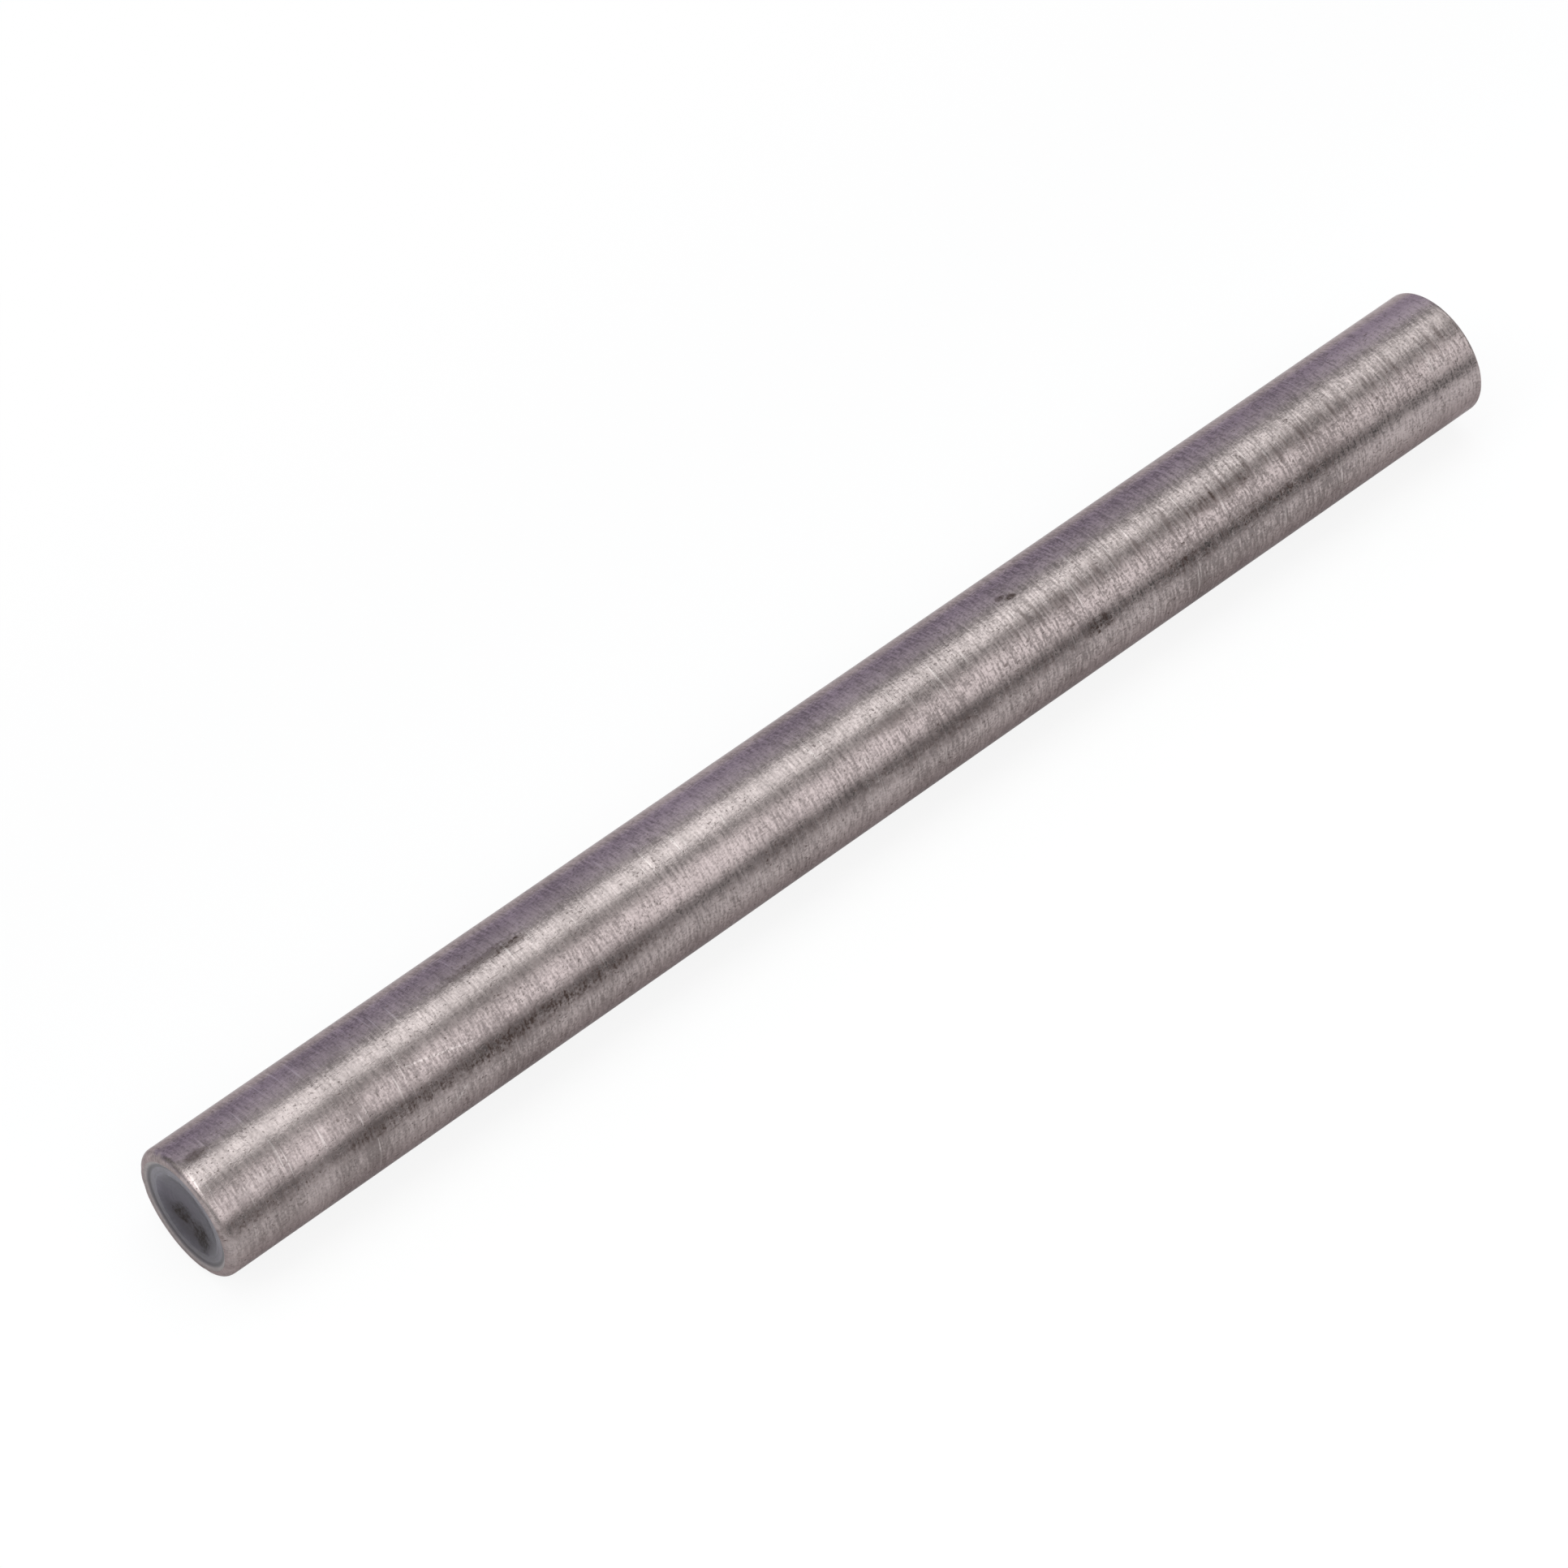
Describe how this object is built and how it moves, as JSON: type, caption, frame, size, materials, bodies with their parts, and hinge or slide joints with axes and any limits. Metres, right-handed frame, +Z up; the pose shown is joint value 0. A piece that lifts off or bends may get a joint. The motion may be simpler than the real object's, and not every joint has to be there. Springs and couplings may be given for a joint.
{
  "type": "rivet setting punch",
  "caption": "Round steel bar punch for setting rivets by hand: a shallow spherical cup in the working end holds the rivet's cap, and the flat far end is struck with a hammer.",
  "frame": {"origin": "on the surface the bar lies on, under the middle of its length", "axes": "+X along the bar from the cupped working end to the struck end, +Z up from the surface it lies on; the bar's axis runs along X at half its diameter above the origin"},
  "size_m": [0.111, 0.0094, 0.0095],
  "materials": {
    "ground_steel": "ground round, fine scratches around the bar, light wear and pitting"
  },
  "bodies": {
    "root": {"nose": "ground_steel", "shank": "ground_steel"}
  },
  "joints": []
}
